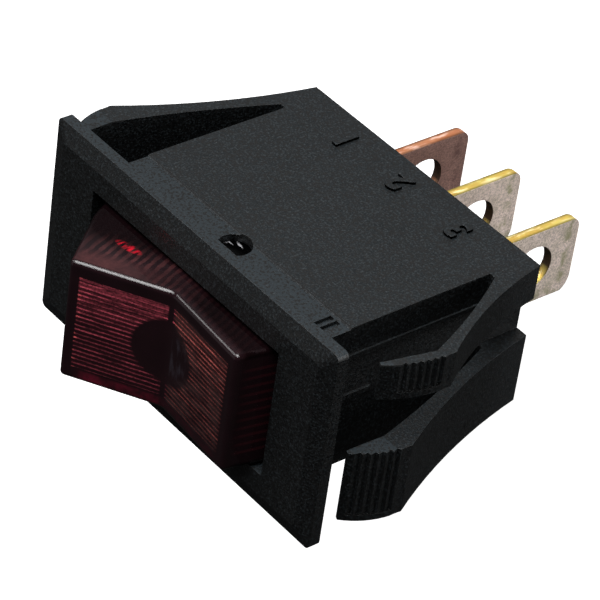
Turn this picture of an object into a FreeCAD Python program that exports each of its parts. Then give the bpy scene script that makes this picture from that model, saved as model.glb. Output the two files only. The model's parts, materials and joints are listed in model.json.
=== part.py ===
import FreeCAD, Part
import math
import os

# Lighted snap-in rocker switch with three quick-connect tabs.
# Millimetres. The origin is the centre of the bezel's back face, which seats on the panel.
# +Z points out of the panel, X runs along the bezel and Y across it.
# The rocker is modelled in its off position, with its -X end pressed.

V = FreeCAD.Vector

# Housing
WELL_LENGTH = 20.76
WELL_WIDTH = 10.4
WELL_DEPTH = 7.0
END_WALL = 0.92
SIDE_WALL = 0.55
REAR_STEP = 0.15
REAR_STEP_DEPTH = 3.9
REAR_STEP_MARGIN = 0.85
CHAMBER_LEDGE = 0.5
CHAMBER_WALL = 0.8
BODY_DEPTH = 19.8
FLOOR = 1.6
END_FLANGE = 4.2
SIDE_FLANGE = 2.3
BEZEL_RIM = 0.9
BEZEL_CROWN = 0.47
BEZEL_BEVEL = 1.3
BEZEL_CORNER = 0.45
STEP_CHAMFER = 0.12
END_RIB_WIDTH = 0.4
END_RIB_HEIGHT = 0.14
END_RIB_REACH = 6.4
END_LINE_Y = 3.4
CUT_MARGIN = 1.0
NOTCH_WIDTH = 1.05
NOTCH_DEPTH = 0.45
NOTCH_LOW = 0.2
NOTCH_HIGH = 1.75
NOTCH_RIB = 0.2
GUIDE_HEIGHT = 3.5
GUIDE_THICKNESS = 0.5
GUIDE_GRIP = 0.3
POST_THICKNESS = 0.8
POST_HALF_WIDTH = 1.5
ROOT_OVERLAP = 0.1

# Snap-in wings: two long and two short, each pair on one diagonal
LONG_WING_REACH = 17.66
LONG_WING_DROP = 4.65
LONG_WING_TIP_REACH = 15.95
LONG_WING_TIP_DROP = 0.82
LONG_WING_THICKNESS = 1.9
LONG_WING_INNER_EDGE = 0.14
SHORT_WING_REACH = 16.96
SHORT_WING_DROP = 7.95
SHORT_WING_TIP_REACH = 15.36
SHORT_WING_TIP_DROP = 3.14
SHORT_WING_THICKNESS = 0.95
SHORT_WING_WIDTH = 2.86
WING_ROOT = 1.0
WING_SLOT = 0.5
WING_ROOT_HEIGHT = 3.7
WING_TIP_THICKNESS = 0.3
WING_BOW = 0.6
WING_BEND_RADIUS = 0.5
RAMP_BOW = 0.3
TOOTH_PITCH = 0.55
TOOTH_DEPTH = 0.2
TOOTH_MARGIN = 0.5
LONG_WING_LAND = 0.35
SHORT_WING_LAND = 1.2

# Rocker
PIVOT_DEPTH = 2.92
PIVOT_HOLE_RADIUS = 1.23
TRUNNION_CLEARANCE = 0.08
TRUNNION_RECESS = 0.35
TRUNNION_CHAMFER = 0.2
TRUNNION_LAND = 0.35
TRUNNION_RAMP = 40.0
TILT = 13.7
ROCKER_END_GAP = 0.2
ROCKER_SIDE_GAP = 0.3
VALLEY_HEIGHT = 6.31
FACET_ANGLE = 18.0
CREST_REACH = 7.17
LENS_EDGE = 0.35
VALLEY_RADIUS = 1.2
SHOULDER_HEIGHT = 3.4
LENS_SKIRT = 1.6
LENS_WALL = 0.95
RIB_HEIGHT = 0.18
RIB_MARGIN = 0.8
FACET_RIBS = 20
FACET_RIB_PITCH = 0.36
WALL_RIB_PITCH = 0.7
END_RIBS = 11
TRAY_BOTTOM = 0.9
TRAY_FLOOR = 0.9
TRAY_WALL = 0.8
TRAY_SIDE_WALL = 1.4
TRAY_LIP = 0.8
SEAM_GAP = 0.04
COLLAR_RADIUS = 1.5
COLLAR_HEIGHT = 0.25

# Plunger
BOSS_RADIUS = 2.5
BOSS_BOTTOM = 2.2
BOSS_TOP_GAP = 0.3
PLUNGER_RADIUS = 1.5
PLUNGER_CLEARANCE = 0.06
PLUNGER_REACH = 4.8
PLUNGER_TOP = 0.2
PLUNGER_BORE_TOP = 3.7
SPIGOT_RADIUS = 0.75
SPIGOT_HEIGHT = 1.0
NOSE_STEPS = 3
PLUNGER_SPRING_WIRE = 0.32
PLUNGER_SPRING_TURNS = 5

# Seesaw contact
SEESAW_TILT = 9.0
SEESAW_GAP = 0.03
STRIP_THICKNESS = 0.5
STRIP_HALF_WIDTH = 2.6
STRIP_CORNER = 0.6
STRIP_NOTCH_HALF = 0.75
NEAR_ARM = 6.4
FAR_ARM = 4.0
CONTACT_ARM = 4.6
RIVET_RADIUS = 1.4
RIVET_HEAD = 0.6
RIVET_DOME = 0.35
DOME_RING = 0.55
RIVET_SHANK = 0.75
RIVET_UPSET_RADIUS = 0.95
RIVET_UPSET = 0.25
RIVET_CLEARANCE = 0.01
CONTACT_GAP = 0.05
STOP_GAP = 0.25
STOP_INSET = 0.3

# Terminals
BLADE_THICKNESS = 0.8
TAB_WIDTH = 6.3
TAB_LENGTH = 9.6
TAB_CORNER = 1.1
TAB_LEAD = 0.9
TAB_LEAD_DEPTH = 0.18
TAB_HOLE_RADIUS = 1.85
TAB_HOLE_TO_TIP = 4.25
SHOULDER = 0.35
SLOT_CLEARANCE = 0.05
COMMON_TAB_X = 0.0
LOAD_TAB_X = -6.38
LAMP_TAB_X = 5.85
SHELF_BEND = 0.45
EAR_HEIGHT = 0.9
EAR_INSET = 0.55
EAR_GAP = 0.15
CONTACT_TONGUE_HALF = 1.65
CONTACT_TONGUE_REACH = 3.3
SPRING_SHELF_WIDTH = 2.0
SHELF_SLIT = 0.15

# Lamp circuit
LAMP_SPRING_RADIUS = 0.95
LAMP_SPRING_WIRE = 0.26
LAMP_SPRING_TURNS = 6
SEAT_GAP = 0.12
COIL_STEPS = 9
WIRE_SIDES = 6
BEND_STEPS = 4
EYELET_RADIUS = 0.9
EYELET_FLANGE = 0.2
EYELET_SHANK = 0.5
EYELET_WALL_GAP = 0.06
EYELET_Y = 2.5
WIRE_RADIUS = 0.18
WIRE_BEND = 0.45
BULB_RADIUS = 1.6
BULB_LENGTH = 5.4
BULB_HEIGHT = 2.9
BULB_WALL = 0.3
BULB_NOSE = 0.5
BULB_TIP = 0.8
PINCH_HALF = 0.9
PINCH_WALL = 0.25
ELECTRODE_START = 1.2
ELECTRODE_SPACING = 0.9
RESISTOR_RADIUS = 0.95
RESISTOR_LENGTH = 3.6
RESISTOR_END = 0.8
RESISTOR_HEIGHT = 1.9
WIRE_LEVEL = 0.4
WIRE_RUN_Y = 3.2
WIRE_JOINT_GAP = 0.05
WIRE_JOINT_REACH = 1.6
WIRE_END_OFFSET = 0.3

# Sizes that follow from the driving dimensions
WELL_X = WELL_LENGTH / 2
WELL_Y = WELL_WIDTH / 2
BODY_X = WELL_X + END_WALL
BAND_Y = WELL_Y + SIDE_WALL
BODY_Y = BAND_Y + REAR_STEP
BEZEL_X = BODY_X + END_FLANGE
BEZEL_Y = BODY_Y + SIDE_FLANGE
BEZEL_TOP = BEZEL_RIM + BEZEL_CROWN
CHAMBER_X = WELL_X - CHAMBER_LEDGE
CHAMBER_Y = WELL_Y - CHAMBER_WALL
FLOOR_TOP = FLOOR - BODY_DEPTH
ROCKER_RADIUS = WELL_X - ROCKER_END_GAP
ROCKER_Y = WELL_Y - ROCKER_SIDE_GAP
CREST_HEIGHT = VALLEY_HEIGHT + CREST_REACH * math.tan(math.radians(FACET_ANGLE))
TRUNNION_RADIUS = PIVOT_HOLE_RADIUS - TRUNNION_CLEARANCE
TRUNNION_END = BAND_Y - TRUNNION_RECESS
BORE_RADIUS = PLUNGER_RADIUS + PLUNGER_CLEARANCE
STRIP_TOP = -PIVOT_DEPTH - PLUNGER_REACH - SEESAW_GAP
STRIP_BOTTOM = STRIP_TOP - STRIP_THICKNESS
SADDLE_RADIUS = BLADE_THICKNESS / 2
SEESAW_Z = STRIP_BOTTOM - SEESAW_GAP - SADDLE_RADIUS
TAB_Y = TAB_WIDTH / 2
BLADE_Y = TAB_Y + SHOULDER
TAB_TIP = -BODY_DEPTH - TAB_LENGTH
TAB_HOLE_Z = TAB_TIP + TAB_HOLE_TO_TIP
TRAY_TOP = TRAY_FLOOR - TRAY_BOTTOM
TRAY_X = ROCKER_RADIUS - LENS_WALL - TRAY_WALL
UPSET_RADIUS = EYELET_RADIUS * 0.8
EYELET_X = TRAY_X - UPSET_RADIUS - EYELET_WALL_GAP
BULB_X = (BOSS_RADIUS + TRAY_X) / 2
RESISTOR_X = -BULB_X
WIRE_Z = TRAY_TOP + WIRE_LEVEL
DOME_RADIUS = (RIVET_RADIUS ** 2 + RIVET_DOME ** 2) / (2 * RIVET_DOME)


def box(x0, x1, y0, y1, z0, z1):
    return Part.makeBox(x1 - x0, y1 - y0, z1 - z0, V(x0, y0, z0))


def rod_y(radius, y0, y1, x, z):
    return Part.makeCylinder(radius, y1 - y0, V(x, y0, z), V(0, 1, 0))


def rod_z(radius, z0, z1, x, y):
    return Part.makeCylinder(radius, z1 - z0, V(x, y, z0), V(0, 0, 1))


def span(a, b):
    """Two levels in rising order."""
    return min(a, b), max(a, b)


def polygon_yz(points, x0, x1):
    """Extrudes a closed outline of (y, z) points from x0 to x1."""
    corners = [V(x0, y, z) for y, z in points]
    face = Part.Face(Part.makePolygon(corners + corners[:1]))
    return face.extrude(V(x1 - x0, 0, 0))


def turned(profile):
    """A solid turned about Z from an outline of (radius, z) points."""
    corners = [V(r, 0, z) for r, z in profile]
    face = Part.Face(Part.makePolygon(corners + corners[:1]))
    return face.revolve(V(0, 0, 0), V(0, 0, 1), 360)


def turn_half(shape):
    """The same shape turned half a turn about Z."""
    copy = shape.copy()
    copy.rotate(V(0, 0, 0), V(0, 0, 1), 180)
    return copy


def place_rocker(shape):
    """Takes a shape from the rocker's own axes, with the pivot at the origin, to its off position."""
    placed = shape.copy()
    placed.rotate(V(0, 0, 0), V(0, 1, 0), -TILT)
    placed.translate(V(0, 0, -PIVOT_DEPTH))
    return placed


def place_seesaw(shape):
    """Takes a shape from the seesaw's own axes to its off position, with the near arm raised."""
    placed = shape.copy()
    placed.rotate(V(0, 0, 0), V(0, 1, 0), SEESAW_TILT)
    placed.translate(V(0, 0, SEESAW_Z))
    return placed


def rounded_outline(half_x, half_y, radius, z):
    """A closed rectangle with round corners, in a plane of constant z."""
    face = Part.Face(Part.makePolygon([
        V(-half_x, -half_y, z),
        V(half_x, -half_y, z),
        V(half_x, half_y, z),
        V(-half_x, half_y, z),
        V(-half_x, -half_y, z),
    ]))
    block = face.extrude(V(0, 0, 1))
    upright = [e for e in block.Edges if abs(e.Vertexes[0].Z - e.Vertexes[-1].Z) > 0.5]
    block = block.makeFillet(radius, upright)
    bottom = min(block.Faces, key=lambda f: f.CenterOfMass.z)
    return bottom.OuterWire


def tube(centres, radius):
    """A round wire through a run of centres, lofted between rings square to the run."""
    legs = [(after - before).normalize() for before, after in zip(centres, centres[1:])]
    along = legs[0]
    across = along.cross(V(0.3, 0.5, 0.8)).normalize()
    sections = []
    for k, centre in enumerate(centres):
        turned = (legs[max(k - 1, 0)] + legs[min(k, len(legs) - 1)]).normalize()
        across = FreeCAD.Rotation(along, turned).multVec(across)
        along = turned
        up = along.cross(across)
        ring = []
        for j in range(WIRE_SIDES):
            angle = 2 * math.pi * j / WIRE_SIDES
            ring.append(centre + across * (math.cos(angle) * radius) + up * (math.sin(angle) * radius))
        sections.append(Part.makePolygon(ring + ring[:1]))
    return Part.makeLoft(sections, True, True)


def wire_run(points, bend, radius):
    """A round wire of straight runs joined by tangent bends."""
    corners = [V(*p) for p in points]
    centres = [corners[0]]
    for before, corner, after in zip(corners, corners[1:], corners[2:]):
        inward = (before - corner).normalize()
        outward = (after - corner).normalize()
        half_turn = (math.pi - inward.getAngle(outward)) / 2
        trim = bend * math.tan(half_turn)
        middle_way = (inward + outward).normalize()
        middle = corner + middle_way * (bend / math.cos(half_turn) - bend)
        arc = Part.Arc(corner + inward * trim, middle, corner + outward * trim)
        centres += arc.toShape().discretize(BEND_STEPS)
    return tube(centres + [corners[-1]], radius)


def coil(radius, wire, turns, x, y, z0, z1):
    """A compression spring standing along Z between two levels, with a closed coil at each end."""
    middle = radius - wire / 2
    closed = wire * 1.1
    pitch = (z1 - z0 - wire - 2 * closed) / (turns - 2)
    centres = []
    for k in range(turns * COIL_STEPS + 1):
        turn = k / COIL_STEPS
        angle = 2 * math.pi * turn
        closed_turns = min(turn, 1) + max(turn - turns + 1, 0)
        open_turns = turn - closed_turns
        level = z0 + wire / 2 + closed * closed_turns + pitch * open_turns
        centres.append(V(x + math.cos(angle) * middle, y + math.sin(angle) * middle, level))
    return tube(centres, wire / 2)


def bezel():
    rim = rounded_outline(BEZEL_X, BEZEL_Y, BEZEL_CORNER, 0)
    plate = Part.Face(rim).extrude(V(0, 0, BEZEL_RIM))
    lower = rounded_outline(BEZEL_X, BEZEL_Y, BEZEL_CORNER, BEZEL_RIM)
    upper = rounded_outline(BEZEL_X - BEZEL_BEVEL, BEZEL_Y - BEZEL_BEVEL, BEZEL_CORNER, BEZEL_TOP)
    crown = Part.makeLoft([lower, upper], True, True)
    return plate.fuse(crown)


def wing(reach, drop, tip_reach, tip_drop, thickness, land, y0, y1):
    """One wing at the +X end: a bowed arm that springs from the rear and ends in a ramp.

    The ramp's teeth stop short of the y0 edge.
    """
    root_x = BODY_X + WING_ROOT
    slot_x = BODY_X + WING_SLOT
    slot_z = WING_ROOT_HEIGHT - BODY_DEPTH
    along = V(tip_reach - reach, 0, drop - tip_drop).normalize()
    inward = V(-along.z, 0, along.x)
    root = V(root_x, y0, -BODY_DEPTH)
    bend = V(reach, y0, -drop)
    arm = (bend - root).normalize()
    arm_in = V(-arm.z, 0, arm.x)
    arm_end = bend - arm * WING_BEND_RADIUS
    arm_middle = (root + arm_end) * 0.5 + arm_in * WING_BOW
    bend_middle = bend + (inward + arm_in).normalize() * WING_BEND_RADIUS * 0.42
    first = bend + along * WING_BEND_RADIUS
    tip = V(tip_reach, y0, -tip_drop)
    tip_inner = tip + inward * WING_TIP_THICKNESS
    ramp = Part.Arc(first, (first + tip) * 0.5 - inward * RAMP_BOW, tip).toShape()
    knee = bend + V(-thickness, 0, TOOTH_PITCH)
    slot_corner = V(slot_x, y0, slot_z)
    inner_middle = (knee + slot_corner) * 0.5 + arm_in * (-WING_BOW * 0.4)
    closed = [V(BODY_X - WING_SLOT, y0, slot_z), V(BODY_X - WING_SLOT, y0, -BODY_DEPTH), root]
    edges = [
        Part.Arc(root, arm_middle, arm_end).toShape(),
        Part.Arc(arm_end, bend_middle, first).toShape(),
        ramp,
        Part.makePolygon([tip, tip_inner, knee]),
        Part.Arc(knee, inner_middle, slot_corner).toShape(),
        Part.makePolygon([slot_corner] + closed),
    ]
    outline = Part.Wire([e for shape in edges for e in shape.Edges])
    arm_shape = Part.Face(outline).extrude(V(0, y1 - y0, 0))
    count = int((ramp.Length - land) / TOOTH_PITCH)
    marks = ramp.discretize(Distance=TOOTH_PITCH)[:count + 1]
    return arm_shape.cut([tooth_groove(start, stop, y1 - y0) for start, stop in zip(marks, marks[1:])])


def tooth_groove(start, stop, width):
    """A V-shaped groove across a wing's ramp, from one tooth's tip to the next."""
    along = (stop - start).normalize()
    inward = V(-along.z, 0, along.x)
    outward = inward * (-TOOTH_DEPTH)
    corners = [
        start + outward,
        start,
        start + along * (TOOTH_PITCH * 0.3) + inward * TOOTH_DEPTH,
        stop,
        stop + outward,
    ]
    face = Part.Face(Part.makePolygon(corners + corners[:1]))
    groove = face.extrude(V(0, width, 0))
    groove.translate(V(0, TOOTH_MARGIN, 0))
    return groove


def wings():
    long_wing = wing(LONG_WING_REACH, LONG_WING_DROP, LONG_WING_TIP_REACH, LONG_WING_TIP_DROP,
                     LONG_WING_THICKNESS, LONG_WING_LAND, -BODY_Y, -LONG_WING_INNER_EDGE)
    short_wing = wing(SHORT_WING_REACH, SHORT_WING_DROP, SHORT_WING_TIP_REACH, SHORT_WING_TIP_DROP,
                      SHORT_WING_THICKNESS, SHORT_WING_LAND, BODY_Y - SHORT_WING_WIDTH, BODY_Y)
    pair = [long_wing, short_wing]
    return pair + [turn_half(w) for w in pair]


def body_shell():
    """The body behind the bezel: a band for the panel, a slight step out, and two low ribs on each end."""
    band = box(-BODY_X, BODY_X, -BAND_Y, BAND_Y, -BODY_DEPTH, BEZEL_RIM)
    rear = box(-BODY_X, BODY_X, -BODY_Y, BODY_Y, -BODY_DEPTH, -REAR_STEP_DEPTH)
    step = [e for e in rear.Edges
            if e.BoundBox.ZMin > -REAR_STEP_DEPTH - 0.01 and e.BoundBox.XLength > BODY_X]
    rear = rear.makeChamfer(STEP_CHAMFER, step)
    ribs = [end_rib(0, -END_RIB_REACH), end_rib(END_LINE_Y, WING_ROOT_HEIGHT - BODY_DEPTH)]
    return band.fuse([rear] + ribs + [turn_half(r) for r in ribs])


def end_rib(y, bottom):
    """A low rib that runs down the +X end wall from the bezel."""
    half = END_RIB_WIDTH / 2
    return box(BODY_X - ROOT_OVERLAP, BODY_X + END_RIB_HEIGHT, y - half, y + half, bottom, ROOT_OVERLAP)


def side_notch():
    """A small pocket with a thin rib, near one end of the band below the bezel."""
    x0 = REAR_STEP_MARGIN - BODY_X
    x1 = x0 + NOTCH_WIDTH
    z0 = -REAR_STEP_DEPTH + NOTCH_LOW
    z1 = -REAR_STEP_DEPTH + NOTCH_HIGH
    pocket = box(x0, x1, -BODY_Y - CUT_MARGIN, -BODY_Y + NOTCH_DEPTH, z0, z1)
    middle = (x0 + x1) / 2
    rib = box(middle - NOTCH_RIB / 2, middle + NOTCH_RIB / 2, -BODY_Y, -BODY_Y + NOTCH_DEPTH, z0, z1)
    return pocket.cut(rib)


def blade_slot(x):
    half = BLADE_THICKNESS / 2 + SLOT_CLEARANCE
    return box(x - half, x + half, -TAB_Y - SLOT_CLEARANCE, TAB_Y + SLOT_CLEARANCE,
               -BODY_DEPTH - CUT_MARGIN, FLOOR_TOP + CUT_MARGIN)


def blade_guides(x):
    """Two pairs of ribs that hold a blade's edges upright on the chamber floor."""
    guides = []
    half = BLADE_THICKNESS / 2 + SLOT_CLEARANCE
    for side in (-1, 1):
        y0, y1 = span(side * (BLADE_Y - GUIDE_GRIP), side * (CHAMBER_Y + ROOT_OVERLAP))
        for face in (-1, 1):
            x0, x1 = span(x + face * half, x + face * (half + GUIDE_THICKNESS))
            guides.append(box(x0, x1, y0, y1, FLOOR_TOP - ROOT_OVERLAP, FLOOR_TOP + GUIDE_HEIGHT))
    return guides


def stop_post():
    """Carries the seesaw's far arm in the off position."""
    x1 = FAR_ARM - STOP_INSET
    slope = math.tan(math.radians(SEESAW_TILT))
    under = SEESAW_Z + SADDLE_RADIUS + SEESAW_GAP - x1 * slope
    return box(x1 - POST_THICKNESS, x1, -POST_HALF_WIDTH, POST_HALF_WIDTH,
               FLOOR_TOP - ROOT_OVERLAP, under - STOP_GAP)


def shelf_post():
    """Carries the free end of the load terminal's contact shelf."""
    x = LOAD_TAB_X + CONTACT_TONGUE_REACH
    return box(x - POST_THICKNESS, x, -POST_HALF_WIDTH, POST_HALF_WIDTH,
               FLOOR_TOP - ROOT_OVERLAP, LOAD_SHELF - BLADE_THICKNESS)


def make_housing():
    solid = body_shell().fuse([bezel()] + wings())
    solid = solid.cut(box(-WELL_X, WELL_X, -WELL_Y, WELL_Y, -WELL_DEPTH,
                          BEZEL_TOP + CUT_MARGIN))
    solid = solid.cut(box(-CHAMBER_X, CHAMBER_X, -CHAMBER_Y, CHAMBER_Y, FLOOR_TOP,
                          -WELL_DEPTH + CUT_MARGIN))
    inside = [stop_post(), shelf_post()]
    for x in (COMMON_TAB_X, LOAD_TAB_X, LAMP_TAB_X):
        inside += blade_guides(x)
    solid = solid.fuse(inside)
    cuts = [blade_slot(x) for x in (COMMON_TAB_X, LOAD_TAB_X, LAMP_TAB_X)]
    reach = BODY_Y + CUT_MARGIN
    cuts.append(rod_y(PIVOT_HOLE_RADIUS, -reach, reach, 0, -PIVOT_DEPTH))
    cuts.append(side_notch())
    cuts.append(turn_half(side_notch()))
    return solid.cut(cuts).removeSplitter()


def blade(x, top):
    """A terminal's flat blade with its outside tab, up to a level inside the chamber."""
    outline = [
        (-TAB_Y, TAB_TIP),
        (TAB_Y, TAB_TIP),
        (TAB_Y, FLOOR_TOP),
        (BLADE_Y, FLOOR_TOP),
        (BLADE_Y, top),
        (-BLADE_Y, top),
        (-BLADE_Y, FLOOR_TOP),
        (-TAB_Y, FLOOR_TOP),
    ]
    half = BLADE_THICKNESS / 2
    plate = polygon_yz(outline, x - half, x + half)
    corners = [e for e in plate.Edges if e.BoundBox.XLength > half and e.BoundBox.ZMax < TAB_TIP + 0.01]
    plate = plate.makeFillet(TAB_CORNER, corners)
    start = V(x - BLADE_THICKNESS, 0, TAB_HOLE_Z)
    hole = Part.makeCylinder(TAB_HOLE_RADIUS, 2 * BLADE_THICKNESS, start, V(1, 0, 0))
    return plate.cut([hole, lead_in(x, 1), lead_in(x, -1)])


def lead_in(x, side):
    """The wedge that thins one face of a tab towards its tip."""
    face = x + side * BLADE_THICKNESS / 2
    corners = [
        V(face, -BLADE_Y, TAB_TIP + TAB_LEAD),
        V(face - side * TAB_LEAD_DEPTH, -BLADE_Y, TAB_TIP),
        V(face - side * TAB_LEAD_DEPTH, -BLADE_Y, TAB_TIP - 1),
        V(face + side, -BLADE_Y, TAB_TIP - 1),
        V(face + side, -BLADE_Y, TAB_TIP + TAB_LEAD),
    ]
    wedge = Part.Face(Part.makePolygon(corners + corners[:1]))
    return wedge.extrude(V(0, 2 * BLADE_Y, 0))


def shelf(x, direction, reach, y0, y1, top):
    """A tongue folded from a blade's top, towards +X or -X, with a rounded outer bend."""
    back = x - direction * BLADE_THICKNESS / 2
    x0, x1 = span(back, x + direction * reach)
    tongue = box(x0, x1, y0, y1, top - BLADE_THICKNESS, top)
    bend = [e for e in tongue.Edges
            if e.BoundBox.YLength > (y1 - y0) / 2 and abs(e.CenterOfMass.x - back) < 0.01
            and abs(e.CenterOfMass.z - top) < 0.01]
    return tongue.makeFillet(SHELF_BEND, bend)


def closed_contact_point():
    """Where the moving contact's dome stands lowest with the circuit closed, from the seesaw's axis."""
    tilt = math.radians(SEESAW_TILT)
    centre_z = SADDLE_RADIUS + SEESAW_GAP - RIVET_HEAD + DOME_RADIUS
    x = -CONTACT_ARM * math.cos(tilt) - centre_z * math.sin(tilt)
    z = -CONTACT_ARM * math.sin(tilt) + centre_z * math.cos(tilt) - DOME_RADIUS
    return x, z


FIXED_X, CLOSED_Z = closed_contact_point()
FIXED_TOP = SEESAW_Z + CLOSED_Z - CONTACT_GAP
LOAD_SHELF = FIXED_TOP - RIVET_HEAD
LAMP_SHELF = LOAD_SHELF


def make_common_terminal():
    plate = blade(COMMON_TAB_X, SEESAW_Z)
    half = BLADE_THICKNESS / 2
    ear_in = STRIP_HALF_WIDTH - EAR_INSET
    ear_top = STRIP_TOP + EAR_HEIGHT
    saddle = rod_y(SADDLE_RADIUS, -ear_in, ear_in, COMMON_TAB_X, SEESAW_Z)
    ears = []
    for side in (-1, 1):
        y0, y1 = span(side * ear_in, side * BLADE_Y)
        ears.append(box(COMMON_TAB_X - half, COMMON_TAB_X + half, y0, y1, SEESAW_Z - half, ear_top))
    return plate.fuse([saddle] + ears).removeSplitter()


def make_load_terminal():
    """A blade whose top folds inwards under the contact and outwards under the lamp spring."""
    plate = blade(LOAD_TAB_X, LOAD_SHELF - BLADE_THICKNESS)
    y0 = -EYELET_Y - SPRING_SHELF_WIDTH / 2
    contact_shelf = shelf(LOAD_TAB_X, 1, CONTACT_TONGUE_REACH, y0 + SPRING_SHELF_WIDTH + SHELF_SLIT,
                          CONTACT_TONGUE_HALF, LOAD_SHELF)
    reach = EYELET_X + LOAD_TAB_X + LAMP_SPRING_RADIUS
    spring_shelf = shelf(LOAD_TAB_X, -1, reach, y0, y0 + SPRING_SHELF_WIDTH, LOAD_SHELF)
    terminal = plate.fuse([contact_shelf, spring_shelf])
    terminal = terminal.cut(rod_z(RIVET_SHANK + RIVET_CLEARANCE, LOAD_SHELF - 2 * BLADE_THICKNESS,
                                  LOAD_SHELF + 1, FIXED_X, 0))
    return terminal.removeSplitter()


def make_lamp_terminal():
    plate = blade(LAMP_TAB_X, LAMP_SHELF - BLADE_THICKNESS)
    y1 = EYELET_Y + SPRING_SHELF_WIDTH / 2
    reach = EYELET_X - LAMP_TAB_X + LAMP_SPRING_RADIUS
    spring_shelf = shelf(LAMP_TAB_X, 1, reach, y1 - SPRING_SHELF_WIDTH, y1, LAMP_SHELF)
    return plate.fuse(spring_shelf).removeSplitter()


def rivet(grip):
    """A contact rivet with its dome facing +Z and its seat at z = 0; the shank runs down through a sheet."""
    low = -grip - RIVET_UPSET
    flat = RIVET_HEAD - RIVET_DOME
    ring = RIVET_RADIUS * DOME_RING
    shoulder = RIVET_HEAD - DOME_RADIUS + math.sqrt(DOME_RADIUS ** 2 - ring ** 2)
    profile = [
        (0, low), (RIVET_UPSET_RADIUS, low), (RIVET_UPSET_RADIUS, -grip), (RIVET_SHANK, -grip),
        (RIVET_SHANK, 0), (RIVET_RADIUS, 0), (RIVET_RADIUS, flat), (ring, shoulder), (0, RIVET_HEAD),
    ]
    return turned(profile)


def make_fixed_contact():
    button = rivet(BLADE_THICKNESS)
    button.translate(V(FIXED_X, 0, LOAD_SHELF))
    return button


def make_moving_contact():
    """A flat strip, notched at both edges for the common terminal's ears."""
    low = SADDLE_RADIUS + SEESAW_GAP
    high = low + STRIP_THICKNESS
    strip = box(-NEAR_ARM, FAR_ARM, -STRIP_HALF_WIDTH, STRIP_HALF_WIDTH, low, high)
    upright = [e for e in strip.Edges if e.BoundBox.ZLength > STRIP_THICKNESS / 2]
    strip = strip.makeFillet(STRIP_CORNER, upright)
    notch_in = STRIP_HALF_WIDTH - EAR_INSET - EAR_GAP
    for side in (-1, 1):
        y0, y1 = span(side * notch_in, side * (STRIP_HALF_WIDTH + 1))
        strip = strip.cut(box(-STRIP_NOTCH_HALF, STRIP_NOTCH_HALF, y0, y1, low - 1, high + 1))
    strip = strip.cut(rod_z(RIVET_SHANK + RIVET_CLEARANCE, low - 1, high + 1, -CONTACT_ARM, 0))
    return place_seesaw(strip)


def make_moving_rivet():
    button = rivet(STRIP_THICKNESS)
    button.rotate(V(0, 0, 0), V(1, 0, 0), 180)
    button.translate(V(-CONTACT_ARM, 0, SADDLE_RADIUS + SEESAW_GAP))
    return place_seesaw(button)


def rocker_outline(inset):
    """The rocker's side profile in its own axes, drawn in by a wall's thickness."""
    slope = math.radians(FACET_ANGLE)
    radius = ROCKER_RADIUS - inset
    shoulder_x = math.sqrt(ROCKER_RADIUS ** 2 - SHOULDER_HEIGHT ** 2)
    end = V(shoulder_x - CREST_REACH, 0, SHOULDER_HEIGHT - CREST_HEIGHT).normalize()
    end_in = V(end.z, 0, -end.x)
    facet = V(math.cos(slope), 0, math.sin(slope))
    facet_in = V(math.sin(slope), 0, -math.cos(slope))
    valley = V(0, 0, VALLEY_HEIGHT - inset / math.cos(slope))
    crest = V(CREST_REACH, 0, CREST_HEIGHT)
    turn = facet_in.getAngle(end_in) / 2
    crest = crest + (facet_in + end_in).normalize() * (inset / math.cos(turn))
    return valley, crest, facet, end, radius


def rocker_block(inset, y_half, bottom):
    """A block with the rocker's V-shaped top, sloped ends and round skirt."""
    valley, crest, facet, end, radius = rocker_outline(inset)
    reach = crest.dot(end)
    span = math.sqrt(radius ** 2 - crest.dot(crest) + reach ** 2)
    shoulder = crest + end * (span - reach)
    skirt = V(math.sqrt(radius ** 2 - bottom ** 2), 0, bottom)
    middle = (shoulder + skirt).normalize() * radius
    lift = V(0, -y_half, 0)
    right = [valley, crest, shoulder]
    left = [V(-p.x, 0, p.z) for p in right]
    mirror_skirt = V(-skirt.x, 0, skirt.z)
    mirror_middle = V(-middle.x, 0, middle.z)
    edges = [
        Part.LineSegment(left[1] + lift, valley + lift).toShape(),
        Part.LineSegment(valley + lift, crest + lift).toShape(),
        Part.LineSegment(crest + lift, shoulder + lift).toShape(),
        Part.Arc(shoulder + lift, middle + lift, skirt + lift).toShape(),
        Part.LineSegment(skirt + lift, mirror_skirt + lift).toShape(),
        Part.Arc(mirror_skirt + lift, mirror_middle + lift, left[2] + lift).toShape(),
        Part.LineSegment(left[2] + lift, left[1] + lift).toShape(),
    ]
    return Part.Face(Part.Wire(edges)).extrude(V(0, 2 * y_half, 0))


def rib(start, stop, across, drop):
    """A fine V-shaped rib from start to stop, half as wide as twice across and standing out by drop."""
    corners = [start - across - drop * 0.3, start + across - drop * 0.3, start + drop]
    face = Part.Face(Part.makePolygon(corners + corners[:1]))
    return face.extrude(stop - start)


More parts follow.
